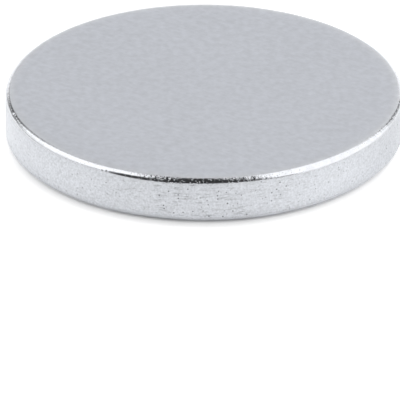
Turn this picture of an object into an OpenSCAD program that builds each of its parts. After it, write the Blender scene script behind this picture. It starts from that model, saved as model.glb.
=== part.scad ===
// Disc magnet: a flat round magnet, pressed and sintered in one piece and nickel plated all over.
// It is a solid of revolution about Z and lies on its lower face, whose centre is the origin.

/* [Disc] */
// Diameter over the plated wall
disc_d = 25; // [5:0.5:60]
// Thickness between the two flat faces
disc_t = 3; // [1:0.1:12]

/* [Rolled edges] */
// Radius that tumbling leaves on the upper edge
upper_edge_r = 0.35; // [0.05:0.05:0.45]
// Radius that tumbling leaves on the lower edge
lower_edge_r = 0.35; // [0.05:0.05:0.45]

/* [Hidden] */
$fn = 180;
disc_r = disc_d / 2;
// How far a cutter runs past the face it cuts
overcut = 1;

// The corner of a square block outside a quarter round of radius r.
// The corner is at the origin, and the block lies towards -X and -Y of it.
module corner_waste(r) {
    difference() {
        translate([-r, -r]) square(r + overcut);
        translate([-r, -r]) circle(r);
    }
}

// Half of the disc's section: radius along X and height along Y
module half_section() {
    difference() {
        square([disc_r, disc_t]);
        translate([disc_r, disc_t]) corner_waste(upper_edge_r);
        translate([disc_r, 0]) mirror([0, 1]) corner_waste(lower_edge_r);
    }
}

module disc_magnet() {
    color([0.76, 0.77, 0.79]) rotate_extrude() half_section();
}

disc_magnet();
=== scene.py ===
"""A nickel plated disc magnet lying on a pale table, inside a light tent.

Lengths are in metres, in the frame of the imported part: the disc's lower face is centred on the
origin, its axis is +Z, and the camera stands in front of it, on the -Y side. A bearing is an angle
round the axis from the front, positive to the right. The tilt of a surface is the angle of its
normal above the horizon: none on the wall, and a right angle on the upper face.
"""
import logging
import math
from dataclasses import dataclass, field
from enum import Enum
from functools import partial, reduce
from typing import Optional, Union

import bpy
import numpy as np
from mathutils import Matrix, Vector


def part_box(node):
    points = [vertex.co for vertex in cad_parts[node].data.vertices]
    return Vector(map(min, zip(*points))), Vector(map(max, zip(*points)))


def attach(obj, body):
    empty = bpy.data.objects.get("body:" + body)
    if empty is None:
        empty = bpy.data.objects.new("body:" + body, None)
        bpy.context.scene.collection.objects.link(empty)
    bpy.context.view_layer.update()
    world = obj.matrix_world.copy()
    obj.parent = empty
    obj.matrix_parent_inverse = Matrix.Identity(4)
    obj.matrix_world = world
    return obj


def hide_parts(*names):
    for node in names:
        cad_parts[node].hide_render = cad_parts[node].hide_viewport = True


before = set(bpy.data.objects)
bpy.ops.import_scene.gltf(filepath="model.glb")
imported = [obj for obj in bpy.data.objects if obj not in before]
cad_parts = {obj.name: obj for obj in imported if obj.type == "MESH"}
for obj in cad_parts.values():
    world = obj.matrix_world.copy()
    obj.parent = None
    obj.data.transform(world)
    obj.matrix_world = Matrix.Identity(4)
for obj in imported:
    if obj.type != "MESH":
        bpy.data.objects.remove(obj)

LOG = logging.getLogger("disc_magnet")
MM = 0.001
MICRON = 0.000001
NODE = "disc_magnet"
BODY = "root"

Socket = bpy.types.NodeSocket
Span = tuple[float, float]
Pair = tuple[float, float]
Triple = tuple[float, float, float]
Feed = Union[float, Triple, Socket]
Feeds = dict[Union[str, int], Feed]


class Board:
    """Adds nodes to one node tree and wires them up."""

    def __init__(self, tree: bpy.types.NodeTree) -> None:
        """Starts on an empty tree.

        Args:
            tree: the node tree of a material or of the world.
        """
        self.tree = tree
        tree.nodes.clear()

    def node(self, kind: str, feeds: Optional[Feeds] = None, **settings: object) -> bpy.types.Node:
        """Adds one node.

        Args:
            kind: the node's Blender type.
            feeds: what goes into its sockets, by name or index: a number, a colour or another
                node's output.
            settings: the node's own properties.

        Returns:
            The new node.
        """
        made = self.tree.nodes.new(kind)
        for name, value in settings.items():
            setattr(made, name, value)
        for key, value in (feeds or {}).items():
            self.plug(made.inputs[key], value)
        return made

    def plug(self, socket: Socket, value: Feed) -> None:
        """Links an output to a socket, or sets the socket's own value.

        A colour of three parts gets an alpha of 1.

        Args:
            socket: the socket of a node's input.
            value: a number, a colour, a vector or another node's output.
        """
        if isinstance(value, bpy.types.NodeSocket):
            self.tree.links.new(value, socket)
        elif isinstance(value, tuple) and len(value) < len(socket.default_value):
            socket.default_value = (*value, 1.0)
        else:
            socket.default_value = value

    def math(self, operation: str, *values: Feed) -> Socket:
        """Adds a Math node on the values and returns its output."""
        return self.node("ShaderNodeMath", dict(enumerate(values)), operation=operation).outputs[0]

    def total(self, *values: Feed) -> Socket:
        """Adds the values up, two at a time."""
        return reduce(partial(self.math, "ADD"), values)

    def product(self, *values: Feed) -> Socket:
        """Multiplies the values, two at a time."""
        return reduce(partial(self.math, "MULTIPLY"), values)

    def highest(self, *values: Feed) -> Socket:
        """Finds the greatest of the values, two at a time."""
        return reduce(partial(self.math, "MAXIMUM"), values)

    def ramp(self, value: Feed, span: Span, low: Feed = 0.0, high: Feed = 1.0) -> Socket:
        """Goes smoothly from low to high as the value crosses the span, and stays there beyond.

        Args:
            value: the number that is looked at.
            span: its values at which the ramp starts and ends; the start may be the greater one.
            low: what the ramp starts at.
            high: what it ends at.

        Returns:
            The ramp's height.
        """
        start, end = span
        feeds = {"Value": value, "From Min": start, "From Max": end, "To Min": low, "To Max": high}
        made = self.node("ShaderNodeMapRange", feeds, interpolation_type="SMOOTHSTEP")
        return made.outputs["Result"]

    def swing(self, value: Feed, span: Span, amount: float) -> Socket:
        """Goes smoothly from -amount to amount as the value crosses the span."""
        return self.ramp(value, span, -amount, amount)

    def fade(self, factor: Feed, first: Feed, second: Feed) -> Socket:
        """Mixes two numbers: the first at factor 0 and the second at factor 1."""
        feeds = {0: factor, 2: first, 3: second}
        return self.node("ShaderNodeMix", feeds, data_type="FLOAT").outputs[0]

    def tint(self, factor: Feed, first: Feed, second: Feed) -> Socket:
        """Mixes two colours: the first at factor 0 and the second at factor 1."""
        feeds = {0: factor, 6: first, 7: second}
        return self.node("ShaderNodeMix", feeds, data_type="RGBA").outputs[2]

    def attribute(self, name: str) -> Socket:
        """Reads a number that the mesh keeps on its points."""
        return self.node("ShaderNodeAttribute", attribute_name=name).outputs["Fac"]

    def vector(self, operation: str, first: Feed, second: Feed = (0.0, 0.0, 0.0)) -> bpy.types.Node:
        """Adds a Vector Math node on one or two vectors."""
        return self.node("ShaderNodeVectorMath", {0: first, 1: second}, operation=operation)


@dataclass(frozen=True)
class Grain:
    """Noise from 0 to 1 round a mean of 0.5.

    size is that of its features, in metres. Three sizes are those along the axes of a place that
    is first turned about Z by turn_deg, so that the features are longer one way than the other.
    """

    size: Union[float, Triple]
    detail: float = 2.0
    roughness: float = 0.5
    turn_deg: float = 0.0

    def draw(self, board: Board, place: Socket) -> Socket:
        """Adds the noise.

        Args:
            board: the material's nodes.
            place: the position on the object.

        Returns:
            The noise at that position.
        """
        scale = 1.0
        if isinstance(self.size, tuple):
            place = self.stretched(board, place)
        else:
            scale = 1.0 / self.size
        feeds = {"Vector": place, "Scale": scale, "Detail": self.detail, "Roughness": self.roughness}
        return board.node("ShaderNodeTexNoise", feeds).outputs["Fac"]

    def stretched(self, board: Board, place: Socket) -> Socket:
        """Turns a position about Z and divides each of its axes by the size along it.

        Args:
            board: the material's nodes.
            place: the position on the object.

        Returns:
            The position in units of the sizes.
        """
        rotation = (0.0, 0.0, math.radians(self.turn_deg))
        turned = board.node("ShaderNodeMapping", {"Vector": place, "Rotation": rotation})
        shrink = tuple(1.0 / size for size in self.size)
        feeds = {"Vector": turned.outputs[0], "Scale": shrink}
        return board.node("ShaderNodeMapping", feeds).outputs[0]


@dataclass(frozen=True)
class Spots:
    """Round spots, one to a cell of a Voronoi pattern.

    spacing is the cells' size, share a spot's radius as a share of it, and scarcity, from 0 to 1,
    says how many of the cells have a faint spot or none. core is the part of the radius over which
    a spot is at its full strength, and odds the span of a cell's chance, counted from scarcity,
    over which its spot comes in.
    """

    spacing: float
    share: float
    scarcity: float
    core: float = 0.4
    odds: Span = (-0.2, 0.4)

    def draw(self, board: Board, place: Socket) -> Socket:
        """Adds the spots.

        Args:
            board: the material's nodes.
            place: the position on the object.

        Returns:
            1 in the middle of a strong spot, falling smoothly to 0 outside it.
        """
        cells = board.node("ShaderNodeTexVoronoi", {"Vector": place, "Scale": 1.0 / self.spacing})
        disc = board.ramp(cells.outputs["Distance"], (self.share, self.core * self.share))
        chance = board.node("ShaderNodeSeparateColor", {0: cells.outputs["Color"]}).outputs["Red"]
        none, full = self.odds
        return board.product(disc, board.ramp(chance, (self.scarcity + none, self.scarcity + full)))


class Zone(Enum):
    """The zones of the plated surface, each kept as a weight from 0 to 1 on the mesh's points."""

    EDGE = "edge_zone"
    WALL = "wall_zone"
    SCUFF = "scuff_zone"


@dataclass(frozen=True)
class Marks:
    """How much of each zone and of each mark there is at a point of the plating.

    face, edge, wall and scuff are the zones' weights. The rest are patterns from 0 to 1.
    """

    face: Socket
    edge: Socket
    wall: Socket
    scuff: Socket
    cloud: Socket
    mottle: Socket
    lay: Socket
    smudges: Socket
    grain: Socket
    streaks: Socket
    pits: Socket
    dimples: Socket
    knocks: Socket


@dataclass(frozen=True)
class NickelPlate:
    """Tumbled nickel plate: satin faces, bright and dimpled rolled edges, and a pitted wall.

    A tint is how much a mark lightens the colour, or darkens it where it is below 0, and a relief
    is its height in microns. A scuff span is that of the scuffs' weight over which a mark goes from
    the first value of its pair to the second. Any other span is that of a pattern, over which a
    mark comes in. wall_mottle is the mottle's share on the wall, pit_cover how much of the colour a
    pit covers, and crowd_range how much there is of the pits where they are few and where they
    crowd together.
    """

    colour: Triple = (0.566, 0.583, 0.624)
    edge_colour: Triple = (0.650, 0.664, 0.695)
    wall_colour: Triple = (0.598, 0.614, 0.645)
    pit_colour: Triple = (0.150, 0.155, 0.170)
    face_roughness: float = 0.58
    edge_roughness: float = 0.12
    wall_roughness: float = 0.38
    roughness_drift: float = 0.01
    pit_roughness: float = 0.3

    cloud: Grain = Grain(4.0 * MM)
    mottle: Grain = Grain(0.50 * MM, 2.0, 0.6)
    lay: Grain = Grain((0.75 * MM, 0.20 * MM, 0.50 * MM), 2.0, 0.55, turn_deg=39.0)
    smudge: Grain = Grain(1.1 * MM, 3.0, 0.6)
    grain: Grain = Grain(0.14 * MM, 3.0, 0.65)
    streak: Grain = Grain((0.80 * MM, 0.80 * MM, 0.065 * MM), 2.0, 0.6)
    speck: Grain = Grain((0.13 * MM, 0.13 * MM, 0.09 * MM), 1.0)
    crowd: Grain = Grain(3.0 * MM, 1.0)
    dimple: Grain = Grain(0.085 * MM, 1.0)
    small_pit: Spots = Spots(0.30 * MM, 0.23, 0.32)
    large_pit: Spots = Spots(0.95 * MM, 0.085, 0.35)
    knock: Spots = Spots(0.12 * MM, 0.36, 0.35)

    slow_span: Span = (0.30, 0.70)
    fine_span: Span = (0.25, 0.75)
    smudge_span: Span = (0.60, 0.78)
    streak_span: Span = (0.46, 0.28)
    speck_span: Span = (0.70, 0.80)
    crowd_span: Span = (0.35, 0.60)
    pit_scuff_span: Span = (0.0, 0.7)
    dimple_scuff_span: Span = (0.56, 0.74)
    knock_scuff_span: Span = (0.62, 1.0)

    cloud_tint: float = 0.012
    mottle_tint: float = 0.050
    lay_tint: float = 0.024
    smudge_tint: float = -0.03
    # painted shade: darkens the colour where the rolled edge meets the face and the wall
    painted_rim_shade_tint: float = -0.35
    grain_tint: float = 0.145
    streak_tint: float = -0.42
    wall_mottle: float = 0.45
    pit_cover: float = 0.9
    crowd_range: Pair = (0.35, 1.0)
    small_pit_share: Pair = (0.55, 1.0)
    speck_share: Pair = (0.35, 0.9)

    mottle_relief: float = 0.8
    lay_relief: float = 0.8
    grain_relief: float = 2.0
    streak_relief: float = 1.0
    dimple_relief: Pair = (4.0, 10.0)
    knock_relief: Pair = (-6.0, -15.0)
    pit_relief: float = -9.0

    def material(self) -> bpy.types.Material:
        """Builds the material.

        Returns:
            A metallic material whose colour, roughness and bump follow the zones of the surface.
        """
        made = bpy.data.materials.new("nickel_plate")
        made.use_nodes = True
        board = Board(made.node_tree)
        marks = self.marks(board)
        shader = board.node("ShaderNodeBsdfPrincipled", {
            "Metallic": 1.0,
            "Base Color": self.base_colour(board, marks),
            "Roughness": self.roughness(board, marks),
            "Normal": self.relief(board, marks),
        })
        board.node("ShaderNodeOutputMaterial", {"Surface": shader.outputs["BSDF"]})
        return made

    def marks(self, board: Board) -> Marks:
        """Lays out the zones and the patterns.

        The lay is noise that is long one way across the face and short the other, and the streaks
        are noise that is long round the wall and short up it. Knocks are the sharper dimples.

        Args:
            board: the material's nodes.

        Returns:
            The weights and the patterns.
        """
        place = board.node("ShaderNodeTexCoord").outputs["Object"]
        edge = board.attribute(Zone.EDGE.value)
        wall = board.attribute(Zone.WALL.value)
        scuff = board.attribute(Zone.SCUFF.value)
        return Marks(
            face=board.math("SUBTRACT", 1.0, board.highest(edge, wall)),
            edge=edge,
            wall=wall,
            scuff=scuff,
            cloud=self.cloud.draw(board, place),
            mottle=self.mottle.draw(board, place),
            lay=self.lay.draw(board, place),
            smudges=board.ramp(self.smudge.draw(board, place), self.smudge_span),
            grain=self.grain.draw(board, place),
            streaks=self.streak.draw(board, place),
            pits=board.product(self.pits(board, place, scuff), wall),
            dimples=self.dimple.draw(board, place),
            knocks=self.knock.draw(board, place),
        )

    def pits(self, board: Board, place: Socket, scuff: Socket) -> Socket:
        """Scatters the pits: the greatest of large spots, small spots and ragged specks.

        There are more small spots and specks where the disc is scuffed, and all of them crowd
        together in places.

        Args:
            board: the material's nodes.
            place: the position on the object.
            scuff: the weight of the scuffed stretches.

        Returns:
            1 in a pit and 0 outside it.
        """
        scuffed = board.ramp(scuff, self.pit_scuff_span)
        small_share = board.fade(scuffed, *self.small_pit_share)
        speck_share = board.fade(scuffed, *self.speck_share)
        large = self.large_pit.draw(board, place)
        small = board.product(self.small_pit.draw(board, place), small_share)
        ragged = board.ramp(self.speck.draw(board, place), self.speck_span, 0.0, speck_share)
        crowd = board.ramp(self.crowd.draw(board, place), self.crowd_span, *self.crowd_range)
        return board.product(board.highest(large, small, ragged), crowd)

    def base_colour(self, board: Board, marks: Marks) -> Socket:
        """Mixes the reflected colour.

        The zones' colours fade into each other. They are multiplied by 1 plus the tints of the
        marks, and pits are painted over them. The rim shade's tint follows edge * (1 - edge): it is
        painted shade, which darkens the colour where the rolled edge begins and ends.

        Args:
            board: the material's nodes.
            marks: the zones and the patterns.

        Returns:
            The colour.
        """
        flat = board.tint(marks.wall, self.colour, self.wall_colour)
        plain = board.tint(marks.edge, flat, self.edge_colour)
        mottle = board.swing(marks.mottle, self.fine_span, self.mottle_tint)
        lay = board.swing(marks.lay, self.fine_span, self.lay_tint)
        # painted shade where the rolled edge begins and ends, darkest where the edge's weight is one
        # half
        painted_rim_shade = board.product(marks.edge, board.math("SUBTRACT", 1.0, marks.edge))
        grain = board.swing(marks.grain, self.fine_span, self.grain_tint)
        streaks = board.ramp(marks.streaks, self.streak_span, 0.0, self.streak_tint)
        level = board.total(
            1.0,
            board.swing(marks.cloud, self.slow_span, self.cloud_tint),
            board.product(mottle, board.fade(marks.wall, 1.0, self.wall_mottle)),
            board.product(marks.face, lay),
            board.product(marks.face, marks.smudges, self.smudge_tint),
            board.product(painted_rim_shade, self.painted_rim_shade_tint),
            board.product(marks.wall, grain),
            board.product(marks.wall, marks.scuff, streaks),
        )
        feeds = {0: plain, "Scale": level}
        shaded = board.node("ShaderNodeVectorMath", feeds, operation="SCALE").outputs[0]
        return board.tint(board.product(marks.pits, self.pit_cover), shaded, self.pit_colour)

    def roughness(self, board: Board, marks: Marks) -> Socket:
        """Works out the roughness from the zones, with slow drifts and rough pits.

        Args:
            board: the material's nodes.
            marks: the zones and the patterns.

        Returns:
            The roughness.
        """
        flat = board.fade(marks.wall, self.face_roughness, self.wall_roughness)
        zoned = board.fade(marks.edge, flat, self.edge_roughness)
        drift = board.swing(marks.cloud, self.slow_span, self.roughness_drift)
        return board.total(zoned, drift, board.product(marks.pits, self.pit_roughness))

    def relief(self, board: Board, marks: Marks) -> Socket:
        """Bumps the normal by the relief that is finer than the mesh.

        Args:
            board: the material's nodes.
            marks: the zones and the patterns.

        Returns:
            The normal of the bumped surface.
        """
        dimple = board.ramp(marks.scuff, self.dimple_scuff_span, *self.dimple_relief)
        knock = board.ramp(marks.scuff, self.knock_scuff_span, *self.knock_relief)
        height = board.total(
            board.product(marks.face, marks.mottle, self.mottle_relief),
            board.product(marks.face, marks.lay, self.lay_relief),
            board.product(marks.wall, marks.grain, self.grain_relief),
            board.product(marks.wall, marks.streaks, self.streak_relief),
            board.product(marks.edge, marks.dimples, dimple),
            board.product(marks.edge, marks.knocks, knock),
            board.product(marks.pits, self.pit_relief),
        )
        return board.node("ShaderNodeBump", {"Height": height, "Distance": MICRON}).outputs["Normal"]


@dataclass(frozen=True)
class Dent:
    """A small knock in a rolled edge: where it is, how wide and high it is, and how deep."""

    bearing_deg: float
    tilt_deg: float
    width: float
    height: float
    depth: float


@dataclass(frozen=True)
class Wear:
    """A worn stretch of the disc's round: its middle, how far it reaches each way and what it adds."""

    bearing_deg: float
    reach_deg: float
    extra: float


@dataclass(frozen=True)
class Wave:
    """A sine wave round the disc: how many crests it has, its height and its phase in radians."""

    crests: int
    height: float
    phase: float


@dataclass(frozen=True)
class Rings:
    """The rings of points along the section, from the middle of the upper face to the lower one's.

    run is the share of the face's radius that a ring lies at, drop the share of the wall's height
    that it lies below the upper edge, tilt the tilt of its normal in radians, and path its distance
    along the section.
    """

    run: np.ndarray
    drop: np.ndarray
    tilt: np.ndarray
    path: np.ndarray


@dataclass
class MagnetDisc:
    """The disc: one closed surface of revolution, uneven only where tumbling and knocks left it so.

    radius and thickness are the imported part's. The rolled edges' radius drifts round the disc by
    edge_waves, and each of wears adds metres to it. Each of scuffs adds to the scuffs' weight, and
    the edge and wall are rougher there.
    """

    radius: float
    thickness: float
    around: int = 1080
    face_rings: int = 18
    edge_rings: int = 17
    wall_rings: int = 9
    ring_crowding: float = 2.4
    edge_radius: float = 0.32 * MM
    edge_spread: float = 0.04
    crown_width: float = 1.1 * MM
    crown_drop: float = 38.0 * MICRON
    ripple_depth: float = 6.0 * MICRON
    ripple_waves: int = 90
    ripple_crests: tuple[int, int] = (70, 330)
    ripple_length: float = 0.35 * MM
    ripple_taper: float = 0.7
    seed: int = 11
    wall_fade_deg: float = 15.0
    face_fade_deg: float = 72.0
    polish_reach: float = 0.32 * MM
    polish_share: float = 0.5
    finish: NickelPlate = field(default_factory=NickelPlate)
    edge_waves: tuple[Wave, ...] = (Wave(3, 0.5, 0.7), Wave(7, 0.3, 2.1), Wave(13, 0.2, 4.0))
    dents: tuple[Dent, ...] = (
        Dent(-74.0, 62.0, 0.15 * MM, 0.12 * MM, 0.032 * MM),
        Dent(-68.0, 70.0, 0.12 * MM, 0.07 * MM, 0.010 * MM),
        Dent(-33.0, 74.0, 0.12 * MM, 0.08 * MM, 0.014 * MM),
        Dent(-11.6, 44.0, 0.06 * MM, 0.08 * MM, 0.014 * MM),
        Dent(-10.2, 60.0, 0.07 * MM, 0.06 * MM, 0.012 * MM),
        Dent(-8.9, 48.0, 0.06 * MM, 0.06 * MM, 0.012 * MM),
        Dent(13.5, 56.0, 0.10 * MM, 0.08 * MM, 0.013 * MM),
        Dent(72.0, 50.0, 0.09 * MM, 0.10 * MM, 0.020 * MM),
    )
    wears: tuple[Wear, ...] = (
        Wear(-53.0, 13.0, 0.045 * MM),
        Wear(-16.0, 11.0, 0.060 * MM),
        Wear(4.0, 10.0, 0.025 * MM),
        Wear(37.0, 16.0, 0.045 * MM),
        Wear(59.5, 7.0, 0.065 * MM),
    )
    scuffs: tuple[Wear, ...] = (
        Wear(0.0, 32.0, 0.7),
        Wear(-11.0, 3.0, 0.3),
        Wear(-2.5, 5.0, 0.16),
        Wear(7.0, 4.5, 0.25),
        Wear(-118.0, 14.0, 0.7),
        Wear(155.0, 20.0, 0.8),
    )

    def ripple(self, bearing: np.ndarray, path: np.ndarray) -> np.ndarray:
        """Sums cosine waves over the surface.

        A wave's angle is crests * bearing + pace * path + its own phase, and the sum is divided by
        the square root of half their number.

        Args:
            bearing: the columns' bearings in radians.
            path: the rings' distances along the section, in metres.

        Returns:
            A grid of values round 0, with a spread of about 1.
        """
        draw = np.random.default_rng(self.seed)
        crests = draw.integers(*self.ripple_crests, self.ripple_waves)
        pace = draw.uniform(-1.0, 1.0, self.ripple_waves) * 2.0 * np.pi / self.ripple_length
        phase = draw.uniform(0.0, 2.0 * np.pi, self.ripple_waves)
        along = np.exp(1j * (np.outer(path, pace) + phase))
        across = np.exp(1j * np.outer(crests, bearing))
        return np.real(along @ across) / math.sqrt(self.ripple_waves / 2)

    def lean(self) -> float:
        """Works out how far the crown leans from the flat where it meets the arc, in radians."""
        return math.atan(2.0 * self.crown_drop / self.crown_width)

    def rings(self) -> Rings:
        """Lays out the rings: closer together towards a face's rim, and evenly on the arcs and wall.

        Returns:
            The rings.
        """
        inward = 1.0 - np.linspace(0.0, 1.0, self.face_rings + 1)
        flat = (1.0 - inward ** self.ring_crowding)[1:-1]
        turn = np.linspace(np.pi / 2 - self.lean(), 0.0, self.edge_rings)
        fall = np.linspace(0.0, 1.0, self.wall_rings + 2)[1:-1]
        edge = np.ones_like(turn)
        run = np.concatenate([flat, edge, np.ones_like(fall), edge, flat[::-1]])
        drop = np.concatenate([np.zeros_like(flat), np.zeros_like(turn), fall, edge, np.ones_like(flat)])
        level = np.full_like(flat, np.pi / 2)
        tilt = np.concatenate([level, turn, np.zeros_like(fall), -turn[::-1], -level])
        flat_steps = np.diff(run) * (self.radius - self.edge_radius)
        wall_steps = np.diff(drop) * (self.thickness - 2 * self.edge_radius)
        steps = np.hypot(flat_steps, wall_steps) + self.edge_radius * np.abs(np.diff(tilt))
        return Rings(run, drop, tilt, np.concatenate([[0.0], steps.cumsum()]))

    def hollow(self, bearing: np.ndarray, rings: Rings) -> np.ndarray:
        """Works out how far each point lies inside the true form, along its normal.

        The rolled edges carry the ripple, as ripple_depth * |sin(2 * tilt)|^ripple_taper times
        1/2 + ripple / 4, which is cut off at 0 so that it only takes metal away. Each dent is a
        Gaussian pit: depth * exp(-(across / width)^2 - (along / height)^2).

        Args:
            bearing: the columns' bearings in radians.
            rings: the rings of the section.

        Returns:
            A grid of depths in metres, none below 0.
        """
        tilt = rings.tilt[:, None]
        rolled = np.abs(np.sin(2.0 * tilt)) ** self.ripple_taper
        uneven = np.clip(0.5 + 0.25 * self.ripple(bearing, rings.path), 0.0, None)
        depth = self.ripple_depth * rolled * uneven
        for dent in self.dents:
            turn = (bearing - math.radians(dent.bearing_deg) + np.pi) % (2.0 * np.pi) - np.pi
            across = turn * self.radius
            along = (tilt - math.radians(dent.tilt_deg)) * self.edge_radius
            depth += dent.depth * np.exp(-(across / dent.width) ** 2 - (along / dent.height) ** 2)
        return depth

    def worn(self, bearing: np.ndarray, stretches: tuple[Wear, ...]) -> np.ndarray:
        """Adds up stretches of wear: each is extra * exp(-(degrees from its middle / reach)^4).

        Args:
            bearing: the columns' bearings in radians.
            stretches: the stretches.

        Returns:
            The sum for each column.
        """
        total = np.zeros_like(bearing)
        for wear in stretches:
            away = (np.degrees(bearing) - wear.bearing_deg + 180.0) % 360.0 - 180.0
            total += wear.extra * np.exp(-(away / wear.reach_deg) ** 4)
        return total

    def edge_radii(self, bearing: np.ndarray) -> np.ndarray:
        """Works out the rolled edges' radius for each column.

        It is edge_radius * (1 + edge_spread * the sum of the waves' height * sin(crests * bearing +
        phase)), plus the wear.

        Args:
            bearing: the columns' bearings in radians.

        Returns:
            The radii in metres.
        """
        waves = (wave.height * np.sin(wave.crests * bearing + wave.phase) for wave in self.edge_waves)
        return self.edge_radius * (1.0 + self.edge_spread * sum(waves)) + self.worn(bearing, self.wears)

    def bearings(self) -> np.ndarray:
        """Lists the columns' bearings in radians, evenly round the disc."""
        return np.arange(self.around) * 2.0 * np.pi / self.around

    def points(self, rings: Rings) -> np.ndarray:
        """Works out the grid of points.

        An edge's arc has its centre at radius - edge from the axis. On it, a point lies
        inset * cos(tilt) further out and inset * sin(tilt) higher, where inset is the edge's radius
        less the point's hollow. The faces fall away towards it by crown_drop, as the square of the
        way into crown_width, and meet it at the tilt that they then have.

        Args:
            rings: the rings of the section.

        Returns:
            The points as an array of rings by columns by 3.
        """
        bearing = self.bearings()
        edge = self.edge_radii(bearing)
        run, drop, tilt = rings.run[:, None], rings.drop[:, None], rings.tilt[:, None]
        on_face = run < 1.0
        half = self.thickness / 2
        face_end = self.radius - edge + edge * math.sin(self.lean())
        centre = half - self.crown_drop - edge * math.cos(self.lean())
        inset = edge - self.hollow(bearing, rings)
        rho = np.where(on_face, run * face_end, self.radius - edge + inset * np.cos(tilt))
        into_crown = np.clip(1.0 - (face_end - rho) / self.crown_width, 0.0, 1.0)
        fall = self.crown_drop * into_crown ** 2
        side = 1.0 - 2.0 * drop
        z = half + np.where(on_face, side * (half - fall), side * centre + inset * np.sin(tilt))
        return np.stack([rho * np.sin(bearing), -rho * np.cos(bearing), z], axis=-1)

    def zones(self, rings: Rings) -> dict[Zone, np.ndarray]:
        """Weighs the zones for each point.

        The wall's weight falls smoothly to 0 as the tilt rises to wall_fade_deg. The edge's weight
        is the rest. From face_fade_deg on it fades to polish_share, and from there into the flat
        face as polish_share * exp(-(way in / polish_reach)^2). The scuffs' weight is the same down
        the section.

        Args:
            rings: the rings of the section.

        Returns:
            For each zone, a grid of rings by columns.
        """
        tilt = np.degrees(np.abs(rings.tilt))
        rise = np.clip(tilt / self.wall_fade_deg, 0.0, 1.0)
        rolled = rise * rise * (3 - 2 * rise)
        way_in = (1.0 - rings.run) * (self.radius - self.edge_radius)
        polish = self.polish_share * np.exp(-(way_in / self.polish_reach) ** 2)
        on_face = np.clip((tilt - self.face_fade_deg) / (90.0 - self.face_fade_deg), 0.0, 1.0)
        columns = np.ones(self.around)
        return {
            Zone.EDGE: np.outer(rolled * (1.0 - on_face + on_face * polish), columns),
            Zone.WALL: np.outer(1.0 - rolled, columns),
            Zone.SCUFF: np.outer(np.ones_like(rolled), self.worn(self.bearings(), self.scuffs)),
        }

    def mesh(self) -> bpy.types.Mesh:
        """Fills the mesh: quads between neighbouring rings, and a fan round each face's pole.

        Returns:
            The mesh, with the zones' weights on its points.
        """
        rings = self.rings()
        grid = self.points(rings)
        count, columns = grid.shape[:2]
        poles = np.array([[0.0, 0.0, self.thickness], [0.0, 0.0, 0.0]])
        coordinates = np.concatenate([grid.reshape(-1, 3), poles])
        index = np.arange(count * columns).reshape(count, columns)
        after = np.roll(index, -1, axis=1)
        quads = np.stack([index[:-1], index[1:], after[1:], after[:-1]], axis=-1).reshape(-1, 4)
        top = np.full(columns, count * columns)
        upper = np.stack([top, index[0], after[0]], axis=-1)
        lower = np.stack([index[-1], top + 1, after[-1]], axis=-1)
        faces = quads.tolist() + upper.tolist() + lower.tolist()
        made = bpy.data.meshes.new("plated_disc")
        made.from_pydata(coordinates.tolist(), [], faces)
        made.shade_smooth()
        for zone, weight in self.zones(rings).items():
            values = np.concatenate([weight.ravel(), [0.0, 0.0]]).astype(np.float32)
            made.attributes.new(zone.value, "FLOAT", "POINT").data.foreach_set("value", values)
        made.update()
        return made

    def build(self) -> bpy.types.Object:
        """Makes the dressed disc and has it stand for the CAD node.

        Returns:
            The disc's object.
        """
        mesh = self.mesh()
        mesh.materials.append(self.finish.material())
        disc = bpy.data.objects.new("plated_disc", mesh)
        bpy.context.scene.collection.objects.link(disc)
        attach(disc, BODY)
        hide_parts(NODE)
        return disc


@dataclass(frozen=True)
class Gaze:
    """A direction out of the tent's middle, as the world's nodes have it.

    x and y are its level parts, elevation is in degrees, and level is its unit vector along the
    ground.
    """

    x: Socket
    y: Socket
    elevation: Socket
    level: Socket


@dataclass(frozen=True)
class Panel:
    """A part of the tent's lining between two bearings and two elevations, and how bright it is."""

    name: str
    radiance: float
    bearing_deg: float
    half_width_deg: float
    low_deg: float = -90.0
    high_deg: float = 90.0
    soft_deg: float = 4.0

    def mask(self, board: Board, gaze: Gaze) -> Socket:
        """Weighs the panel for a direction.

        It is the product of three smooth ramps: one over the cosine of the angle between the
        direction's bearing and the panel's, and one each over the elevation at its foot and head.

        Args:
            board: the world's nodes.
            gaze: the direction.

        Returns:
            1 on the panel, falling smoothly to 0 outside it.
        """
        bearing = math.radians(self.bearing_deg)
        centre = (math.sin(bearing), -math.cos(bearing), 0.0)
        facing = board.vector("DOT_PRODUCT", gaze.level, centre).outputs["Value"]
        soft = self.soft_deg
        outer = math.cos(math.radians(self.half_width_deg + soft))
        inner = math.cos(math.radians(max(self.half_width_deg - soft, 0.0)))
        return board.product(
            board.ramp(facing, (outer, inner)),
            board.ramp(gaze.elevation, (self.low_deg - soft, self.low_deg + soft)),
            board.ramp(gaze.elevation, (self.high_deg + soft, self.high_deg - soft)),
        )


@dataclass(frozen=True)
class RoofSlot:
    """The slot in the tent's roof: a wedge from its point above the backdrop to over the camera.

    A direction is in the slot where |x + shift| is below middle - flare * y.
    """

    name: str = "roof_slot"
    radiance: float = 0.05
    shift: float = 0.018
    middle: float = 0.234
    flare: float = 0.293
    soft: float = 0.030
    foot_deg: Span = (8.0, 30.0)

    def mask(self, board: Board, gaze: Gaze) -> Socket:
        """Weighs the slot for a direction.

        Args:
            board: the world's nodes.
            gaze: the direction.

        Returns:
            1 in the slot, falling smoothly to 0 beside it and down over foot_deg.
        """
        half = board.total(self.middle, board.product(gaze.y, -self.flare))
        aside = board.math("ABSOLUTE", board.total(gaze.x, self.shift))
        gap = board.math("SUBTRACT", aside, half)
        inside = board.ramp(gap, (self.soft, -self.soft))
        return board.product(inside, board.ramp(gaze.elevation, self.foot_deg))


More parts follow.
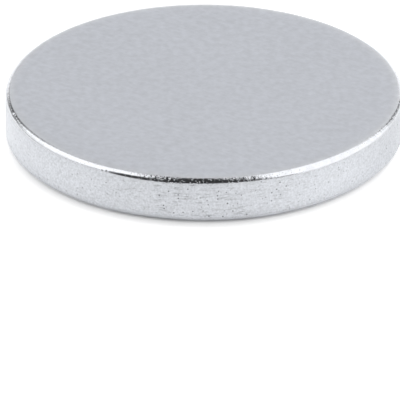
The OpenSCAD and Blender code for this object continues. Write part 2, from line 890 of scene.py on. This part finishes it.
@dataclass(frozen=True)
class LightTent:
    """A white tent with lit panels on each side, an opening for the camera and a slot overhead.

    The numbers named for a place are its brightness, and those in degrees are the elevations over
    which one place fades into the next.
    """

    backdrop_low: float = 1.02
    backdrop_high: float = 0.91
    backdrop_deg: Span = (12.0, 36.0)
    roof: float = 1.5
    roof_deg: Span = (39.0, 49.0)
    below: float = 1.0
    horizon_deg: Span = (-6.0, 0.0)
    panels: tuple[Union[Panel, RoofSlot], ...] = (
        Panel("backdrop_foot", 1.40, 180.0, 30.0, -10.0, 20.5, 8.5),
        Panel("left_panel", 1.32, -89.0, 31.0, 11.0, 90.0, 5.0),
        Panel("left_panel_top", 1.60, -100.0, 40.0, 25.0, 90.0, 4.0),
        Panel("left_panel_foot", 0.50, -92.0, 32.0, 0.0, 6.0, 2.5),
        Panel("right_panel", 1.50, 80.0, 42.0, -20.0, 90.0, 4.0),
        Panel("right_panel_top", 1.50, 100.0, 43.0, 28.0, 90.0, 4.0),
        Panel("right_panel_foot", 0.25, 42.0, 10.0, -2.0, 12.0, 4.0),
        Panel("left_rear_gap", 0.28, -140.0, 12.5, 6.0, 23.0, 5.0),
        Panel("left_rear_gap_top", 0.10, -156.0, 12.0, 21.5, 35.5, 4.0),
        Panel("backdrop_rail", 0.42, -158.0, 11.0, 35.0, 43.0, 3.0),
        Panel("right_rear_gap", 0.28, 145.5, 8.0, 9.0, 36.0, 4.0),
        Panel("camera_opening", 0.07, -10.0, 46.0, 3.0, 52.0, 8.0),
        Panel("table_front", 0.6, 6.0, 9.0, -10.0, 11.0, 5.0),
        Panel("table_front_right", 0.20, 26.0, 8.0, -9.0, 11.0, 4.0),
        RoofSlot(),
    )

    def gaze(self, board: Board) -> Gaze:
        """Takes the world's direction apart.

        Args:
            board: the world's nodes.

        Returns:
            The direction's parts.
        """
        across = board.node("ShaderNodeTexCoord").outputs["Generated"]
        parts = board.node("ShaderNodeSeparateXYZ", {0: across}).outputs
        flat = board.node("ShaderNodeCombineXYZ", {"X": parts["X"], "Y": parts["Y"]}).outputs[0]
        level = board.vector("NORMALIZE", flat).outputs[0]
        elevation = board.product(board.math("ARCSINE", parts["Z"]), 180.0 / math.pi)
        return Gaze(parts["X"], parts["Y"], elevation, level)

    def build(self) -> bpy.types.World:
        """Paints the tent into the world's light, and plain white behind the object.

        The panels cover the lining one after the other, each with its own radiance.

        Returns:
            The world.
        """
        world = bpy.data.worlds.new("light_tent")
        world.use_nodes = True
        board = Board(world.node_tree)
        gaze = self.gaze(board)
        backdrop = board.ramp(gaze.elevation, self.backdrop_deg, self.backdrop_low, self.backdrop_high)
        light = board.fade(board.ramp(gaze.elevation, self.roof_deg), backdrop, self.roof)
        for panel in self.panels:
            light = board.fade(panel.mask(board, gaze), light, panel.radiance)
        light = board.fade(board.ramp(gaze.elevation, self.horizon_deg), self.below, light)
        seen = board.node("ShaderNodeLightPath").outputs["Is Camera Ray"]
        feeds = {"Color": (1.0, 1.0, 1.0), "Strength": board.fade(seen, light, 1.0)}
        shine = board.node("ShaderNodeBackground", feeds)
        board.node("ShaderNodeOutputWorld", {"Surface": shine.outputs[0]})
        bpy.context.scene.world = world
        return world


@dataclass(frozen=True)
class TentFloor:
    """The tent's floor: a flat white round just under the disc, which takes the disc's shadow.

    A lift is how much the floor glows where it is only looked at, and the spans are the places, in
    metres from the middle, over which a lift comes in or fades. abreast_share is the share of
    side_lift that comes in towards the front and towards the rear. The even lift makes the floor
    plain white. The others vary with the place and are painted light and shade: pools of painted
    light to the left and right and round the disc, which lighten its shadow beside it, painted
    shade at its right rear, and no lift inside clear_span, which paints the contact shadow
    darker. Glossy rays see them too, so they are also painted into the disc's reflections.
    """

    radius: float = 1.25
    drop: float = 10.0 * MICRON
    sides: int = 64
    albedo: float = 0.88
    lift: float = 0.27
    # painted light and shade on the floor: the lifts below vary with the place, and inside clear_span
    # there is none, which paints the contact shadow darker
    clear_span: Span = (11.7 * MM, 12.8 * MM)
    left_lift: float = 0.11
    left_span: Span = (-4.0 * MM, -15.0 * MM)
    right_lift: float = 0.14
    right_span: Span = (1.0 * MM, 10.0 * MM)
    near_lift: float = 0.22
    near_rise: Span = (12.5 * MM, 13.4 * MM)
    near_fall: Span = (18.0 * MM, 13.7 * MM)
    right_rear_painted_shade: float = -0.06
    rear_across: Span = (6.0 * MM, 12.0 * MM)
    rear_along: Span = (-9.5 * MM, -2.0 * MM)
    side_lift: float = 0.25
    side_across: Span = (7.0 * MM, 12.5 * MM)
    side_along: Span = (-9.0 * MM, 2.0 * MM)
    side_fall: Span = (16.0 * MM, 13.2 * MM)
    abreast_share: Pair = (0.15, 0.85)

    def material(self) -> bpy.types.Material:
        """Makes the floor's white matt, lifted to plain white where it is only looked at.

        Returns:
            The material.
        """
        made = bpy.data.materials.new("tent_floor")
        made.use_nodes = True
        board = Board(made.node_tree)
        rays = board.node("ShaderNodeLightPath").outputs
        looks = (rays["Is Camera Ray"], rays["Is Glossy Ray"], rays["Is Transmission Ray"])
        strength = board.product(board.total(*looks), self.glow(board))
        matt = board.node("ShaderNodeBsdfDiffuse", {"Color": (self.albedo,) * 3})
        lift = board.node("ShaderNodeEmission", {"Strength": strength})
        both = board.node("ShaderNodeAddShader", {0: matt.outputs[0], 1: lift.outputs[0]})
        board.node("ShaderNodeOutputMaterial", {"Surface": both.outputs[0]})
        return made

    def glow(self, board: Board) -> Socket:
        """Adds up the lifts.

        The lift is painted light: it is greater to the left and right, where the floor lies nearer to
        the side panels, and close to the disc, most of all beside it, where it lightens the disc's
        shadow, except at its right rear, where it turns into painted shade. It starts only outside
        the contact shadow, which is thus painted darker.

        Args:
            board: the material's nodes.

        Returns:
            The glow at a place of the floor.
        """
        place = board.node("ShaderNodeTexCoord").outputs["Object"]
        parts = board.node("ShaderNodeSeparateXYZ", {0: place}).outputs
        x, y = parts["X"], parts["Y"]
        away = board.vector("LENGTH", place).outputs["Value"]
        # pools of painted light to the left and right
        left = board.ramp(x, self.left_span, 0.0, self.left_lift)
        right = board.ramp(x, self.right_span, 0.0, self.right_lift)
        # painted shade at the disc's right rear, and painted light in a ring round the disc
        rear = board.product(board.ramp(x, self.rear_across), board.ramp(y, self.rear_along))
        ring = board.product(board.ramp(away, self.near_rise), board.ramp(away, self.near_fall))
        near = board.product(ring, board.fade(rear, self.near_lift, self.right_rear_painted_shade))
        # painted light beside the disc, which lightens its shadow there
        beside = board.ramp(board.math("ABSOLUTE", x), self.side_across)
        abreast = board.ramp(y, self.side_along, *self.abreast_share)
        side = board.product(beside, abreast, board.ramp(away, self.side_fall, 0.0, self.side_lift))
        # painted shadow: no lift over the contact shadow, so that it stays darker
        clear = board.ramp(away, self.clear_span)
        return board.product(clear, board.total(self.lift, left, right, near, side))

    def build(self) -> bpy.types.Object:
        """Lays the floor, as one polygon.

        Returns:
            The floor's object.
        """
        turn = np.arange(self.sides) * 2.0 * np.pi / self.sides
        rim = self.radius * np.stack([np.cos(turn), np.sin(turn)], axis=-1)
        points = np.column_stack([rim, np.full(len(rim), -self.drop)])
        mesh = bpy.data.meshes.new("tent_floor")
        mesh.from_pydata(points.tolist(), [], [list(range(len(points)))])
        mesh.materials.append(self.material())
        made = bpy.data.objects.new("tent_floor", mesh)
        bpy.context.scene.collection.objects.link(made)
        return made


@dataclass(frozen=True)
class PhotoCamera:
    """The camera that sees the disc as the photograph does.

    The sizes in pixels are those of a square frame, counted from its upper left corner. clip is
    the nearest and furthest distance that it sees.
    """

    elevation_deg: float = 26.45
    distance_in_radii: float = 40.0
    disc_radius_px: float = 199.0
    face_centre_px: Pair = (204.1, 89.0)
    frame_px: float = 400.0
    sensor_mm: float = 36.0
    clip: Span = (0.01, 10.0)

    def build(self, disc: MagnetDisc) -> bpy.types.Object:
        """Places the camera.

        The lens makes the disc's radius as many pixels long as in the photograph at this distance.
        The camera looks past the middle of the upper face by the angles that put that point where
        the photograph has it.

        Args:
            disc: the disc that it looks at.

        Returns:
            The camera's object.
        """
        focal_px = self.disc_radius_px * self.distance_in_radii
        rise = math.radians(self.elevation_deg)
        sight = Vector((0.0, math.cos(rise), -math.sin(rise)))
        target = Vector((0.0, 0.0, disc.thickness))
        right_px = self.face_centre_px[0] - self.frame_px / 2
        up_px = self.frame_px / 2 - self.face_centre_px[1]
        upward = Vector((0.0, math.sin(rise), math.cos(rise)))
        aim = sight * focal_px - Vector((right_px, 0.0, 0.0)) - upward * up_px
        data = bpy.data.cameras.new("photo_camera")
        data.sensor_width = self.sensor_mm
        data.lens = focal_px / self.frame_px * self.sensor_mm
        data.clip_start, data.clip_end = self.clip
        camera = bpy.data.objects.new("photo_camera", data)
        camera.location = target - sight * (self.distance_in_radii * disc.radius)
        camera.rotation_mode = "QUATERNION"
        camera.rotation_quaternion = aim.to_track_quat("-Z", "Y")
        bpy.context.scene.collection.objects.link(camera)
        bpy.context.scene.camera = camera
        return camera


def main() -> None:
    """Builds the camera, tent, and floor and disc."""
    logging.basicConfig(level=logging.INFO, format="%(name)s: %(message)s")
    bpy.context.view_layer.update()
    low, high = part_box(NODE)
    disc = MagnetDisc(radius=(high.x - low.x) / 2, thickness=high.z - low.z)
    camera = PhotoCamera().build(disc)
    LOG.info("%s with a lens of %.0f mm", camera.name, camera.data.lens)
    tent = LightTent()
    world = tent.build()
    LOG.info("%s with %s", world.name, ", ".join(panel.name for panel in tent.panels))
    floor = TentFloor().build()
    LOG.info("%s of %d sides", floor.name, len(floor.data.vertices))
    plated = disc.build()
    LOG.info("%s with %d points", plated.name, len(plated.data.vertices))
    bpy.context.scene.view_settings.view_transform = "Standard"


if __name__ == "__main__":
    main()
